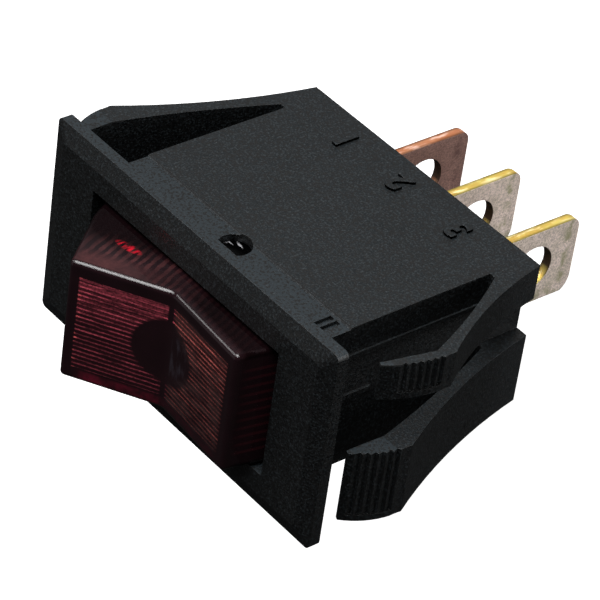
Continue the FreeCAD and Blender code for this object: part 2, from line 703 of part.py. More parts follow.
def lens_ribs():
    """Fine ribs under both facets and inside the end walls and side walls, clear of every corner."""
    valley, crest, facet, end, radius = rocker_outline(LENS_WALL)
    under = V(facet.z, 0, -facet.x) * RIB_HEIGHT
    inward = V(end.z, 0, -end.x) * RIB_HEIGHT
    end_stop = crest + end * ((crest.z - SHOULDER_HEIGHT) / -end.z)
    ribs = []
    for k in range(FACET_RIBS):
        shift = V(0, (k - (FACET_RIBS - 1) / 2) * FACET_RIB_PITCH, 0)
        across = V(0, FACET_RIB_PITCH * 0.35, 0)
        start = valley + facet * RIB_MARGIN + shift
        ribs.append(rib(start, crest - facet * RIB_MARGIN + shift, across, under))
    for k in range(END_RIBS):
        shift = V(0, (k - (END_RIBS - 1) / 2) * WALL_RIB_PITCH, 0)
        across = V(0, WALL_RIB_PITCH * 0.25, 0)
        ribs.append(rib(crest + end * RIB_MARGIN + shift, end_stop + shift, across, inward))
    wall_y = ROCKER_Y - LENS_WALL
    columns = int((crest.x - RIB_MARGIN) / WALL_RIB_PITCH)
    for k in range(columns):
        x = (k + 0.5) * WALL_RIB_PITCH
        top = valley.z + x * facet.z / facet.x - RIB_MARGIN
        for side in (-1, 1):
            across = V(WALL_RIB_PITCH * 0.25, 0, 0)
            foot = V(x, side * wall_y, LENS_SKIRT + TRAY_LIP + 0.2)
            ribs.append(rib(foot, V(x, side * wall_y, top), across, V(0, -side * RIB_HEIGHT, 0)))
    return ribs + [turn_half(r) for r in ribs]


def rounded_block():
    """The lens's outside, with a soft valley, round crests and round edges all round its top."""
    solid = rocker_block(0, ROCKER_Y, LENS_SKIRT)
    across = [e for e in solid.Edges if e.BoundBox.YLength > ROCKER_Y]
    valley = [e for e in across if abs(e.CenterOfMass.x) < 0.01 and e.CenterOfMass.z > LENS_SKIRT + 0.01]
    solid = solid.makeFillet(VALLEY_RADIUS, valley)
    across = [e for e in solid.Edges if e.BoundBox.YLength > ROCKER_Y]
    crests = [e for e in across if e.BoundBox.ZMin > CREST_HEIGHT - 0.01]
    sides = [e for e in solid.Edges if e.BoundBox.YLength < 0.01 and e.BoundBox.ZMin > SHOULDER_HEIGHT - 0.5]
    return solid.makeFillet(LENS_EDGE, crests + sides)


def make_lens():
    lens = rounded_block().cut(rocker_block(LENS_WALL, ROCKER_Y - LENS_WALL, LENS_SKIRT))
    return place_rocker(lens.fuse(lens_ribs()).removeSplitter())


def boss_top():
    return VALLEY_HEIGHT - LENS_WALL / math.cos(math.radians(FACET_ANGLE)) - BOSS_TOP_GAP


def make_trunnion():
    """The -Y pivot pin on its collar, with the ramp that lets it snap down past the well's wall."""
    root = -ROCKER_Y + TRAY_WALL
    collar = rod_y(COLLAR_RADIUS, -ROCKER_Y - COLLAR_HEIGHT, root, 0, 0)
    pin = rod_y(TRUNNION_RADIUS, -TRUNNION_END, root, 0, 0)
    rim = [e for e in pin.Edges if e.BoundBox.YMax < -TRUNNION_END + 0.01]
    pin = pin.makeChamfer(TRUNNION_CHAMFER, rim)
    drop = TRUNNION_RADIUS + TRUNNION_LAND
    inward = drop * math.tan(math.radians(TRUNNION_RAMP))
    corners = [
        (-TRUNNION_END - 1, TRUNNION_LAND),
        (-TRUNNION_END, TRUNNION_LAND),
        (min(-TRUNNION_END + inward, -ROCKER_Y - COLLAR_HEIGHT), -TRUNNION_RADIUS),
        (-TRUNNION_END - 1, -TRUNNION_RADIUS),
    ]
    ramp = polygon_yz(corners, -TRUNNION_RADIUS, TRUNNION_RADIUS)
    return pin.cut(ramp).fuse(collar)


def make_carrier():
    """The rocker's inner frame: a tray with trunnions and the boss in which the plunger slides."""
    top = LENS_SKIRT - SEAM_GAP
    tray = rod_y(ROCKER_RADIUS, -ROCKER_Y, ROCKER_Y, 0, 0)
    tray = tray.common(box(-ROCKER_RADIUS, ROCKER_RADIUS, -ROCKER_Y, ROCKER_Y, -TRAY_BOTTOM, top))
    inner_y = ROCKER_Y - TRAY_SIDE_WALL
    tray = tray.cut(box(-TRAY_X, TRAY_X, -inner_y, inner_y, TRAY_TOP, top + 1))
    lip_x = math.sqrt((ROCKER_RADIUS - LENS_WALL) ** 2 - (top + TRAY_LIP) ** 2) - SEAM_GAP
    lip_y = ROCKER_Y - LENS_WALL - SEAM_GAP
    lip = box(-lip_x, lip_x, -lip_y, lip_y, top - 2 * ROOT_OVERLAP, top + TRAY_LIP)
    inner_x = TRAY_X - 2 * ROOT_OVERLAP
    lip = lip.cut(box(-inner_x, inner_x, -inner_y, inner_y, top - 1, top + TRAY_LIP + 1))
    trunnion = make_trunnion()
    boss = rod_z(BOSS_RADIUS, -BOSS_BOTTOM, boss_top(), 0, 0)
    frame = tray.fuse([lip, boss, trunnion, turn_half(trunnion)])
    frame = frame.cut(rod_z(BORE_RADIUS, -BOSS_BOTTOM - 1, PLUNGER_BORE_TOP, 0, 0))
    for side in (-1, 1):
        frame = frame.cut(rod_z(EYELET_SHANK + RIVET_CLEARANCE, -TRAY_BOTTOM - 1, TRAY_TOP + 1,
                                side * EYELET_X, side * EYELET_Y))
    return place_rocker(frame.removeSplitter())


def make_plunger():
    """A pin turned with a rounded nose below and a spigot for its spring above."""
    centre = PLUNGER_RADIUS - PLUNGER_REACH
    profile = [(0, -PLUNGER_REACH)]
    for k in range(1, NOSE_STEPS + 1):
        angle = math.pi / 2 * k / NOSE_STEPS
        profile.append((PLUNGER_RADIUS * math.sin(angle), centre - PLUNGER_RADIUS * math.cos(angle)))
    profile += [
        (PLUNGER_RADIUS, -PLUNGER_TOP), (SPIGOT_RADIUS, -PLUNGER_TOP),
        (SPIGOT_RADIUS, SPIGOT_HEIGHT - PLUNGER_TOP), (0, SPIGOT_HEIGHT - PLUNGER_TOP),
    ]
    return place_rocker(turned(profile))


def make_plunger_spring():
    spring = coil(PLUNGER_RADIUS - 0.1, PLUNGER_SPRING_WIRE, PLUNGER_SPRING_TURNS, 0, 0,
                  -PLUNGER_TOP + 0.02, PLUNGER_BORE_TOP - 0.02)
    return place_rocker(spring)


def eyelet_level(side):
    """The height of an eyelet's underside, where its lamp spring ends, in the off position."""
    tilt = math.radians(TILT)
    x = side * EYELET_X
    z = -TRAY_BOTTOM - EYELET_FLANGE
    drop = EYELET_RADIUS * math.sin(tilt)
    return x * math.sin(tilt) + z * math.cos(tilt) - PIVOT_DEPTH - drop


def make_lamp_spring(side):
    shelf_top = LAMP_SHELF if side > 0 else LOAD_SHELF
    x = side * EYELET_X * math.cos(math.radians(TILT))
    return coil(LAMP_SPRING_RADIUS, LAMP_SPRING_WIRE, LAMP_SPRING_TURNS, x, side * EYELET_Y,
                shelf_top + 0.02, eyelet_level(side) - SEAT_GAP)


def make_eyelet(side):
    flange = rod_z(EYELET_RADIUS, -TRAY_BOTTOM - EYELET_FLANGE, -TRAY_BOTTOM, 0, 0)
    shank = rod_z(EYELET_SHANK, -TRAY_BOTTOM - EYELET_FLANGE, TRAY_TOP + EYELET_FLANGE, 0, 0)
    upset = rod_z(UPSET_RADIUS, TRAY_TOP, TRAY_TOP + EYELET_FLANGE, 0, 0)
    piece = flange.fuse([shank, upset])
    piece.translate(V(side * EYELET_X, side * EYELET_Y, 0))
    return place_rocker(piece.removeSplitter())


def electrode_x(side):
    return BULB_X + side * ELECTRODE_SPACING / 2


def make_bulb():
    """A glass envelope along Y: a tube with a tapered nose and a flat pinch around the two wires."""
    y0 = -WIRE_RUN_Y + BULB_RADIUS * 0.6
    y1 = y0 + BULB_LENGTH - PINCH_HALF
    tube = rod_y(BULB_RADIUS, y0, y1, BULB_X, BULB_HEIGHT)
    tip = y0 - BULB_RADIUS * BULB_NOSE
    start = V(BULB_X, tip, BULB_HEIGHT)
    nose = Part.makeCone(BULB_RADIUS * BULB_TIP, BULB_RADIUS, y0 - tip, start, V(0, 1, 0))
    inner = rod_y(BULB_RADIUS - BULB_WALL, y0, y1 - BULB_WALL, BULB_X, BULB_HEIGHT)
    pinch = box(BULB_X - PINCH_HALF, BULB_X + PINCH_HALF, y1 - ROOT_OVERLAP, y1 + PINCH_HALF * 0.5,
                BULB_HEIGHT - WIRE_RADIUS - PINCH_WALL, BULB_HEIGHT + WIRE_RADIUS + PINCH_WALL)
    glass = tube.fuse([nose, pinch]).cut(inner)
    bore = WIRE_RADIUS + RIVET_CLEARANCE
    for side in (-1, 1):
        glass = glass.cut(rod_y(bore, y1 - CUT_MARGIN, y1 + PINCH_HALF, electrode_x(side), BULB_HEIGHT))
    return place_rocker(glass.removeSplitter())


def make_electrode_far():
    """From inside the bulb, out through the pinch and down to the far eyelet."""
    x = electrode_x(1)
    points = [
        (x, -ELECTRODE_START, BULB_HEIGHT),
        (x, WIRE_RUN_Y, BULB_HEIGHT),
        (x, WIRE_RUN_Y, WIRE_Z),
        (EYELET_X, EYELET_Y + WIRE_END_OFFSET, WIRE_Z),
    ]
    return place_rocker(wire_run(points, WIRE_BEND, WIRE_RADIUS))


def make_electrode_near():
    """From inside the bulb, out through the pinch, down and along the tray past the boss."""
    x = electrode_x(-1)
    points = [
        (x, -ELECTRODE_START, BULB_HEIGHT),
        (x, WIRE_RUN_Y, BULB_HEIGHT),
        (x, WIRE_RUN_Y, WIRE_Z),
        (RESISTOR_X + WIRE_JOINT_REACH, WIRE_RUN_Y, WIRE_Z),
    ]
    return place_rocker(wire_run(points, WIRE_BEND, WIRE_RADIUS))


def make_resistor():
    """A small resistor along Y, turned with two wider ends."""
    half = RESISTOR_LENGTH / 2
    neck = RESISTOR_RADIUS * 0.82
    inner = half - RESISTOR_END
    slope = RESISTOR_RADIUS - neck
    body = turned([
        (0, -half), (RESISTOR_RADIUS, -half), (RESISTOR_RADIUS, -inner), (neck, slope - inner),
        (neck, inner - slope), (RESISTOR_RADIUS, inner), (RESISTOR_RADIUS, half), (0, half),
    ])
    body.rotate(V(0, 0, 0), V(1, 0, 0), -90)
    body.translate(V(RESISTOR_X, 0, RESISTOR_HEIGHT))
    return place_rocker(body)


def make_resistor_lead_in():
    points = [
        (RESISTOR_X, RESISTOR_LENGTH / 2, RESISTOR_HEIGHT),
        (RESISTOR_X, WIRE_RUN_Y, RESISTOR_HEIGHT),
        (RESISTOR_X, WIRE_RUN_Y, WIRE_Z),
        (RESISTOR_X + WIRE_JOINT_REACH - WIRE_JOINT_GAP, WIRE_RUN_Y, WIRE_Z),
    ]
    return place_rocker(wire_run(points, WIRE_BEND, WIRE_RADIUS))


def make_resistor_lead_out():
    points = [
        (RESISTOR_X, -RESISTOR_LENGTH / 2, RESISTOR_HEIGHT),
        (RESISTOR_X, -WIRE_RUN_Y, RESISTOR_HEIGHT),
        (RESISTOR_X, -WIRE_RUN_Y, WIRE_Z),
        (-EYELET_X, -EYELET_Y - WIRE_END_OFFSET, WIRE_Z),
    ]
    return place_rocker(wire_run(points, WIRE_BEND, WIRE_RADIUS))


PIECES = {
    "housing": make_housing,
    "common_terminal": make_common_terminal,
    "load_terminal": make_load_terminal,
    "lamp_terminal": make_lamp_terminal,
    "fixed_contact_rivet": make_fixed_contact,
    "moving_contact": make_moving_contact,
    "moving_contact_rivet": make_moving_rivet,
    "rocker_lens": make_lens,
    "rocker_carrier": make_carrier,
    "plunger": make_plunger,
    "plunger_spring": make_plunger_spring,
    "lamp_spring_far": lambda: make_lamp_spring(1),
    "lamp_spring_near": lambda: make_lamp_spring(-1),
    "lamp_eyelet_far": lambda: make_eyelet(1),
    "lamp_eyelet_near": lambda: make_eyelet(-1),
    "neon_bulb": make_bulb,
    "neon_electrode_far": make_electrode_far,
    "neon_electrode_near": make_electrode_near,
    "ballast_resistor": make_resistor,
    "resistor_lead_in": make_resistor_lead_in,
    "resistor_lead_out": make_resistor_lead_out,
}

os.makedirs("parts", exist_ok=True)
for name, make in PIECES.items():
    shape = make()
    print(name, len(shape.Solids), "solids, volume", round(shape.Volume, 3), "valid", shape.isValid())
    shape.exportStep("parts/" + name + ".step")
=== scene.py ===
import json
import math

import bpy
from bpy.props import FloatProperty, FloatVectorProperty, PointerProperty
from mathutils import Matrix, Vector


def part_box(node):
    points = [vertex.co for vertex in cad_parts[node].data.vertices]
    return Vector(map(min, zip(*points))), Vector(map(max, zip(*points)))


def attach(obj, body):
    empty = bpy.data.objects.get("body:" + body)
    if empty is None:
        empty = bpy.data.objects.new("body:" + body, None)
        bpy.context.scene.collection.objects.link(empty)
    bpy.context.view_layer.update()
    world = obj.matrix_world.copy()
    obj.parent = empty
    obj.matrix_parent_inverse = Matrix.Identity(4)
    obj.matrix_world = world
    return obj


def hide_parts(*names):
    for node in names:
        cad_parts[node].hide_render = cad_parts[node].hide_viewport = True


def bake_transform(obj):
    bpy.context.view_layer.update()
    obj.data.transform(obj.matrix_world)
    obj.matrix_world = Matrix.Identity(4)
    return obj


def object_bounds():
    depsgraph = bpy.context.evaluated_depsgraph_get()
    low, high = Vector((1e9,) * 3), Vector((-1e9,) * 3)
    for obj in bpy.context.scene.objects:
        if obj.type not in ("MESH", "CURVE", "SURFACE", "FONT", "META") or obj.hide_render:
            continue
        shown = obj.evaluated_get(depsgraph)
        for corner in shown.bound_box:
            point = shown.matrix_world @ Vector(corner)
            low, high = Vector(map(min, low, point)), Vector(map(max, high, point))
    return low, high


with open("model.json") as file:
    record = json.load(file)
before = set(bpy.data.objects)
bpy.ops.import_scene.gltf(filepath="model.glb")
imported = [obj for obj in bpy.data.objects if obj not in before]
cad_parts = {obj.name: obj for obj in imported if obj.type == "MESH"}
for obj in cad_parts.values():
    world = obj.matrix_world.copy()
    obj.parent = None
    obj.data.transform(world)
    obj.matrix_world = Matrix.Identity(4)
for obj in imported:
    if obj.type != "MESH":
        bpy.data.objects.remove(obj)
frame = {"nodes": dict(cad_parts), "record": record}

bl_info = {
    "name": "Panel rocker switch",
    "version": (1, 0, 0),
    "blender": (4, 5, 0),
    "location": "View3D > Sidebar > Rocker Switch",
    "description": "Finishes, moulded numbers and studio for a lighted snap-in rocker switch",
    "category": "Object",
}

# Places on the housing and the blades, in metres, in the shared frame
MM = 0.001
CAD_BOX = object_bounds()
BODY_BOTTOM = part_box("housing")[0].z
BLADE_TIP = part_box("common_terminal")[0].z
WIDE_SIDE_Y = -5.9 * MM
STEP_HEIGHT = (-4.05 * MM, -3.95 * MM)
STEP_LOW = (-5.0 * MM, -4.9 * MM)
STEP_HIGH = (-3.1 * MM, -3.0 * MM)
PIN_END = (4.9 * MM, 5.1 * MM)
TOOTH_END_Y = (5.4 * MM, 3.54 * MM)
RAMP_REACH = (13.2 * MM, 13.3 * MM)
BLADE_HALF_THICKNESS = 0.4 * MM
BLADE_MIDDLES = {"lamp_terminal": 5.85 * MM, "common_terminal": 0.0, "load_terminal": -6.38 * MM}
TAB_HOLE_Z = BODY_BOTTOM - 5.35 * MM
TAB_HOLE_RADIUS = 1.85 * MM
JOINTS = {joint["name"]: joint for joint in frame["record"]["behaviour"]["joints"]}
PIVOT = Vector(JOINTS["rocker_tilt"]["pos_m"])
REST_TILT = math.radians(JOINTS["rocker_tilt"]["range_deg"][1] / 2)

# The lens in the rocker's own axes, with the pivot at the origin
VALLEY_HEIGHT = 6.31 * MM
FACET_SLOPE = math.tan(math.radians(18))
CREST_REACH = 7.17 * MM
BOSS_RADIUS = 2.6 * MM
RIB_PITCH = 0.36 * MM
WALL_RIB_PITCH = 0.7 * MM
SIDE_RIB_PITCH = 0.58 * MM
SIDE_RIB_LEAN = -0.10
RIBBED_HALF_WIDTH = 3.72 * MM
RIBBED_INNER = 0.28 * MM
RIBBED_OUTER = 6.35 * MM
GLOW_ALONG = 5.45 * MM
GLOW_UP = 4.6 * MM
GLOW_HALF_LENGTH = 1.2 * MM
GLOW_HALF_HEIGHT = 0.42 * MM

# How squarely a face looks along Y where the walls end and the wide sides begin
WALL_TO_SIDE = (0.3, 0.7)

BLACK = (0, 0, 0, 1)
SPARK_GREY = (0.035, 0.038, 0.042, 1)
ACETAL_MOTTLE = (0.008, 0.008, 0.009, 1)
# Painted shade and a painted highlight for the pivot pins' ends
PIN_END_SHADE = (0.0012, 0.0012, 0.0014, 1)
SCRATCH_HIGHLIGHT_GREY = (0.20, 0.20, 0.21, 1)
SMOKE_LIGHT = (0.016, 0.006, 0.008, 1)
SMOKE_DARK = (0.006, 0.003, 0.004, 1)
SIDE_RIB_BROWN = (0.050, 0.016, 0.017, 1)
PAINTED_GLOW_RED = (0.85, 0.012, 0.035, 1)
END_RIB_RED = (0.06, 0.010, 0.014, 1)
BORDER_RED = (0.10, 0.008, 0.018, 1)
BOSS_GREY = (0.026, 0.020, 0.026, 1)
HAZE_BROWN = (0.042, 0.024, 0.024, 1)
NEAR_LINE_RED = (0.66, 0.15, 0.13, 1)
GLINT_RED = (1.0, 0.16, 0.17, 1)
HOLE_SHADE = (0.035, 0.020, 0.012, 1)
TIN_STAIN_AND_SHADE = (0.30, 0.29, 0.16, 1)
COPPER_EDGE = (0.80, 0.36, 0.19, 1)
COPPER_STAIN_AND_SHADE = (0.10, 0.05, 0.045, 1)
ROLLED_COPPER = (0.62, 0.32, 0.19, 1)
CONTACT_SILVER = (0.78, 0.76, 0.72, 1)
NICKEL = (0.55, 0.53, 0.49, 1)
TINNED_WIRE = (0.66, 0.66, 0.66, 1)
SPRING_WIRE = (0.48, 0.48, 0.49, 1)
EYELET_BRASS = (0.72, 0.53, 0.22, 1)

# Each ring's middle along the resistor, and its colour
RESISTOR_RINGS = (
    (-1.2 * MM, (0.30, 0.10, 0.03, 1)),
    (-0.3 * MM, (0.05, 0.03, 0.02, 1)),
    (0.5 * MM, (0.55, 0.30, 0.03, 1)),
)
RING_HALF_WIDTH = 0.18 * MM

# Each spring with the body under its low end, the body over its high end, and its lean from upright
SPRINGS = (
    ("lamp_spring_far", "housing", "rocker", 0.0),
    ("lamp_spring_near", "housing", "rocker", 0.0),
    ("plunger_spring", "plunger", "rocker", REST_TILT),
)

NUMBERS = (("1", "lamp_terminal"), ("2", "common_terminal"), ("3", "load_terminal"))
FONT_SIZE_TO_HEIGHT = 1.35
NUMBER_BOLDNESS = 0.10 * MM
NUMBER_HALF_DEPTH = 0.20 * MM
NUMBER_OFFSET = 0.02 * MM
NUMBER_RISE = 2.4 * MM

# Name, place and size of each softbox, and the property that holds its power
SOFTBOXES = (
    ("key_softbox", (-0.04, -0.41, 0.12), (0.36, 0.30), "key_power"),
    ("bounce_softbox", (0.20, -0.21, -0.19), (0.5, 0.5), "bounce_power"),
    ("edge_softbox", (0.28, -0.25, 0.20), (0.26, 0.09), "edge_power"),
    ("top_softbox", (0.23, 0.04, 0.32), (0.3, 0.3), "top_power"),
    ("side_softbox", (-0.26, -0.06, -0.21), (0.25, 0.25), "side_power"),
)
WORLD_STRENGTH = 0.02
FLOOR_SIZE = 6
FLOOR_GAP = 0.4 * MM
FLOOR_GLOW = 0.86

# The camera fitted to the photo
CAMERA_PLACE = (-0.13963, -0.14152, 0.12270)
CAMERA_FORWARD = (0.5825, 0.5965, -0.5521)
CAMERA_RIGHT = (-0.6165, -0.1184, -0.7784)
CAMERA_LENS = 206.03
CAMERA_SENSOR = 36
CAMERA_CLIP = 0.01


class RockerSwitchLooks(bpy.types.PropertyGroup):
    """Sizes and colours of the switch's finishes that a user may change."""

    nylon_colour: FloatVectorProperty(
        name="Housing", description="Colour of the black moulded nylon", subtype="COLOR",
        size=4, min=0, max=1, default=(0.0042, 0.0056, 0.0066, 1))
    speck_colour: FloatVectorProperty(
        name="Grain specks", description="Colour of the light specks in the housing's grain", subtype="COLOR",
        size=4, min=0, max=1, default=(0.0145, 0.0180, 0.0200, 1))
    acetal_colour: FloatVectorProperty(
        name="Rocker frame", description="Colour of the rocker's black inner frame", subtype="COLOR",
        size=4, min=0, max=1, default=(0.006, 0.006, 0.007, 1))
    lens_colour: FloatVectorProperty(
        name="Lens", description="Colour of the rib lines under the lens's far facet", subtype="COLOR",
        size=4, min=0, max=1, default=(0.74, 0.11, 0.16, 1))
    tin_colour: FloatVectorProperty(
        name="Tin plate", description="Colour of the dull tin plate on the blades", subtype="COLOR",
        size=4, min=0, max=1, default=(0.86, 0.72, 0.64, 1))
    copper_colour: FloatVectorProperty(
        name="Copper plate", description="Colour of the lamp terminal's dull copper plate", subtype="COLOR",
        size=4, min=0, max=1, default=(0.30, 0.175, 0.145, 1))
    brass_colour: FloatVectorProperty(
        name="Bare brass", description="Colour of the blades' sheared edges", subtype="COLOR",
        size=4, min=0, max=1, default=(1.0, 0.80, 0.20, 1))
    grain_size: FloatProperty(
        name="Grain", description="Size of the moulded surface's grain", subtype="DISTANCE",
        min=0.00005, max=0.002, default=0.00020, precision=5)
    grain_depth: FloatProperty(
        name="Grain depth", description="Depth of the moulded surface's grain", subtype="DISTANCE",
        min=0, max=0.0002, default=0.000026, precision=6)
    number_height: FloatProperty(
        name="Number height", description="Height of the moulded terminal numbers", subtype="DISTANCE",
        min=0.0005, max=0.004, default=0.0021, precision=5)
    key_power: FloatProperty(
        name="Key light", description="Power of the softbox that faces the wide side", subtype="POWER",
        unit="POWER", min=0, max=50, default=4.6)
    bounce_power: FloatProperty(
        name="Bounce light", description="Power of the wide light that the side wall mirrors", subtype="POWER",
        unit="POWER", min=0, max=50, default=0.13)
    edge_power: FloatProperty(
        name="Edge light", description="Power of the softbox that draws the lens's near edge", subtype="POWER",
        unit="POWER", min=0, max=50, default=0.50)
    top_power: FloatProperty(
        name="Top light", description="Power of the soft light overhead", subtype="POWER",
        unit="POWER", min=0, max=50, default=0.05)
    side_power: FloatProperty(
        name="Side light", description="Power of the softbox at the near end", subtype="POWER",
        unit="POWER", min=0, max=50, default=0.6)


def looks():
    return bpy.context.scene.rocker_switch_looks


def scaled(colour, factor):
    """An opaque colour with its channels times a factor, or each times its own of three."""
    factors = factor if isinstance(factor, tuple) else (factor,) * 3
    return tuple(channel * f for channel, f in zip(colour[:3], factors)) + (1,)


def paler(colour, share):
    """An opaque colour with a share of white in it."""
    return tuple(share + channel * (1 - share) for channel in colour[:3]) + (1,)


# Material building blocks

class Finish:
    """A node material with one principled shader, whose patterns read Object coordinates."""

    def __init__(self, name):
        self.material = bpy.data.materials.new(name)
        self.material.use_nodes = True
        self.tree = self.material.node_tree
        self.shader = self.tree.nodes["Principled BSDF"]
        self.place = self.node("ShaderNodeTexCoord").outputs["Object"]

    def node(self, kind, **settings):
        node = self.tree.nodes.new(kind)
        for key, value in settings.items():
            setattr(node, key, value)
        return node

    def link(self, source, target):
        """Feeds a socket from another, or sets it to a number or a colour."""
        if isinstance(source, (int, float, tuple)):
            target.default_value = source
        else:
            self.tree.links.new(source, target)

    def set(self, **values):
        for key, value in values.items():
            self.shader.inputs[key.replace("_", " ")].default_value = value

    def feed(self, socket, source):
        self.link(source, self.shader.inputs[socket])

    def maths(self, operation, first, second=0.0):
        maths = self.node("ShaderNodeMath", operation=operation)
        self.link(first, maths.inputs[0])
        self.link(second, maths.inputs[1])
        return maths.outputs[0]

    def plus(self, first, second):
        return self.maths("ADD", first, second)

    def minus(self, first, second):
        return self.maths("SUBTRACT", first, second)

    def larger(self, first, second):
        return self.maths("MAXIMUM", first, second)

    def size_of(self, value):
        return self.maths("ABSOLUTE", value)

    def square(self, value):
        return self.maths("MULTIPLY", value, value)

    def radius(self, first, second):
        return self.maths("SQRT", self.plus(self.square(first), self.square(second)))

    def all_of(self, *masks):
        product = masks[0]
        for mask in masks[1:]:
            product = self.maths("MULTIPLY", product, mask)
        return product

    def band(self, value, low, high, to_low=0.0, to_high=1.0):
        """Goes from to_low to to_high while the value goes from low to high."""
        band = self.node("ShaderNodeMapRange")
        self.link(value, band.inputs["Value"])
        for key, number in zip(("From Min", "From Max", "To Min", "To Max"), (low, high, to_low, to_high)):
            self.link(number, band.inputs[key])
        return band.outputs["Result"]

    def fade(self, value, low, high):
        """1 up to low and 0 from high on."""
        return self.band(value, low, high, 1.0, 0.0)

    def near(self, value, place, low, high):
        """1 within low of a place and 0 further off than high."""
        return self.fade(self.size_of(self.minus(value, place)), low, high)

    def wave(self, value, pitch, offset=0.0):
        """A smooth wave from 0 to 1 along a value, highest at the offset."""
        turns = self.maths("MULTIPLY", self.minus(value, offset), 2 * math.pi / pitch)
        return self.band(self.maths("COSINE", turns), -1, 1)

    def stretch(self, scale):
        mapping = self.node("ShaderNodeMapping")
        mapping.inputs["Scale"].default_value = scale
        self.link(self.place, mapping.inputs["Vector"])
        return mapping.outputs["Vector"]

    def noise(self, size, detail=3.0, rough=0.55, stretch=(1, 1, 1)):
        noise = self.node("ShaderNodeTexNoise")
        noise.inputs["Scale"].default_value = 1 / size
        noise.inputs["Detail"].default_value = detail
        noise.inputs["Roughness"].default_value = rough
        self.link(self.stretch(stretch), noise.inputs["Vector"])
        return noise.outputs["Fac"]

    def blend(self, factor, first, second):
        mix = self.node("ShaderNodeMix", data_type="RGBA")
        self.link(factor, mix.inputs["Factor"])
        self.link(first, mix.inputs["A"])
        self.link(second, mix.inputs["B"])
        return mix.outputs["Result"]

    def axis(self, vector, name):
        parts = self.node("ShaderNodeSeparateXYZ")
        self.link(vector, parts.inputs["Vector"])
        return parts.outputs[name]

    def facing(self, name):
        """How squarely a face looks along an axis, either way, from 0 to 1."""
        normal = self.node("ShaderNodeNewGeometry").outputs["True Normal"]
        return self.size_of(self.axis(normal, name))

    def relief(self, height, depth, edge=0.0):
        """Bump of a given depth over edges rounded to a radius."""
        bump = self.node("ShaderNodeBump")
        bump.inputs["Distance"].default_value = depth
        bump.inputs["Strength"].default_value = 1.0
        self.link(height, bump.inputs["Height"])
        if edge:
            bevel = self.node("ShaderNodeBevel", samples=4)
            bevel.inputs["Radius"].default_value = edge
            self.link(bevel.outputs["Normal"], bump.inputs["Normal"])
        self.feed("Normal", bump.outputs["Normal"])


def dress(node, finish):
    """Gives a CAD node its finish in place of the plain one it came with."""
    slots = frame["nodes"][node].material_slots
    if not slots:
        raise RuntimeError("no material slot on " + node)
    for slot in slots:
        slot.material = finish.material


def moulded_nylon(name, wall_shade, outline_shade):
    """Black nylon with an eroded grain.

    Walls that don't face Y get painted shade by the share wall_shade, and are painted black as shade by the share
    outline."""
    finish = Finish(name)
    base = looks().nylon_colour
    height = finish.axis(finish.place, "Z")
    facing = finish.facing("Y")
    grain = finish.noise(looks().grain_size, 2.0, 0.6)
    fine = finish.noise(looks().grain_size * 0.8, 1.0, 0.6)
    cloud = finish.band(finish.noise(5 * MM, 3.0), 0.35, 0.7)
    shade = finish.blend(cloud, scaled(base, 0.85), scaled(base, 1.2))
    # Painted shade on the walls that don't face Y, which weakens towards the rear, so the walls get lighter again
    # there
    above_rear = finish.band(height, BODY_BOTTOM + 1.0 * MM, BODY_BOTTOM + 4.5 * MM, 0.25, 1.0)
    walls = finish.all_of(finish.band(facing, *WALL_TO_SIDE, wall_shade, 0.0), above_rear)
    shade = finish.blend(walls, shade, BLACK)
    shade = finish.blend(finish.band(fine, 0.48, 0.64), shade, tuple(looks().speck_colour))
    # The wide sides are lighter above the step
    band_above_step = finish.all_of(finish.band(height, *STEP_HEIGHT, 0.0, 0.8), finish.band(facing, *WALL_TO_SIDE))
    shade = finish.blend(band_above_step, shade, scaled(base, 3.2))
    pits = finish.fade(grain, 0.40, 0.52)
    shade = finish.blend(pits, shade, scaled(base, 0.1))
    shade = finish.blend(finish.band(fine, 0.72, 0.80), shade, SPARK_GREY)
    # Painted shade: the tooth ends go black without gloss, the step line goes towards black, and both get rougher
    teeth = shaded_tooth_ends(finish)
    soft = finish.larger(teeth, shaded_step_line(finish))
    # Painted shade: faces that don't face Y go towards black by the share outline, and lose their gloss
    drawn = finish.band(facing, *WALL_TO_SIDE, outline_shade, 0.0)
    finish.feed("Base Color", finish.blend(finish.larger(soft, drawn), shade, BLACK))
    # Black metal mirrors nothing, so it takes the gloss off
    unglossed = finish.larger(finish.all_of(walls, 0.35), drawn)
    finish.feed("Metallic", finish.larger(unglossed, finish.all_of(teeth, 0.8)))
    front = finish.band(finish.facing("Z"), 0.7, 0.95, 0.0, 0.10)
    rough = finish.plus(finish.band(grain, 0.36, 0.64, 0.53, 0.33), front)
    finish.feed("Roughness", finish.plus(rough, soft))
    finish.relief(finish.plus(grain, finish.all_of(fine, 0.5)), looks().grain_depth, 0.05 * MM)
    return finish


def shaded_tooth_ends(finish):
    """The blind ends of the grooves between the wings' teeth, which get painted shade and a rougher surface."""
    across = finish.size_of(finish.axis(finish.place, "Y"))
    reach = finish.size_of(finish.axis(finish.place, "X"))
    lines = [finish.near(across, place, 0.1 * MM, 0.2 * MM) for place in TOOTH_END_Y]
    on_ramp = finish.band(reach, *RAMP_REACH)
    return finish.all_of(finish.larger(*lines), on_ramp, finish.band(finish.facing("Y"), 0.6, 0.9))


def shaded_step_line(finish):
    """The low step across the wide sides, which gets painted shade and a rougher surface."""
    height = finish.axis(finish.place, "Z")
    across = finish.size_of(finish.axis(finish.place, "Y"))
    turned = finish.fade(finish.facing("Y"), 0.80, 0.98)
    level = finish.all_of(finish.band(height, *STEP_LOW), finish.fade(height, *STEP_HIGH))
    outside = finish.band(across, -WIDE_SIDE_Y - 0.15 * MM, -WIDE_SIDE_Y - 0.05 * MM)
    return finish.all_of(turned, level, outside, 0.75)


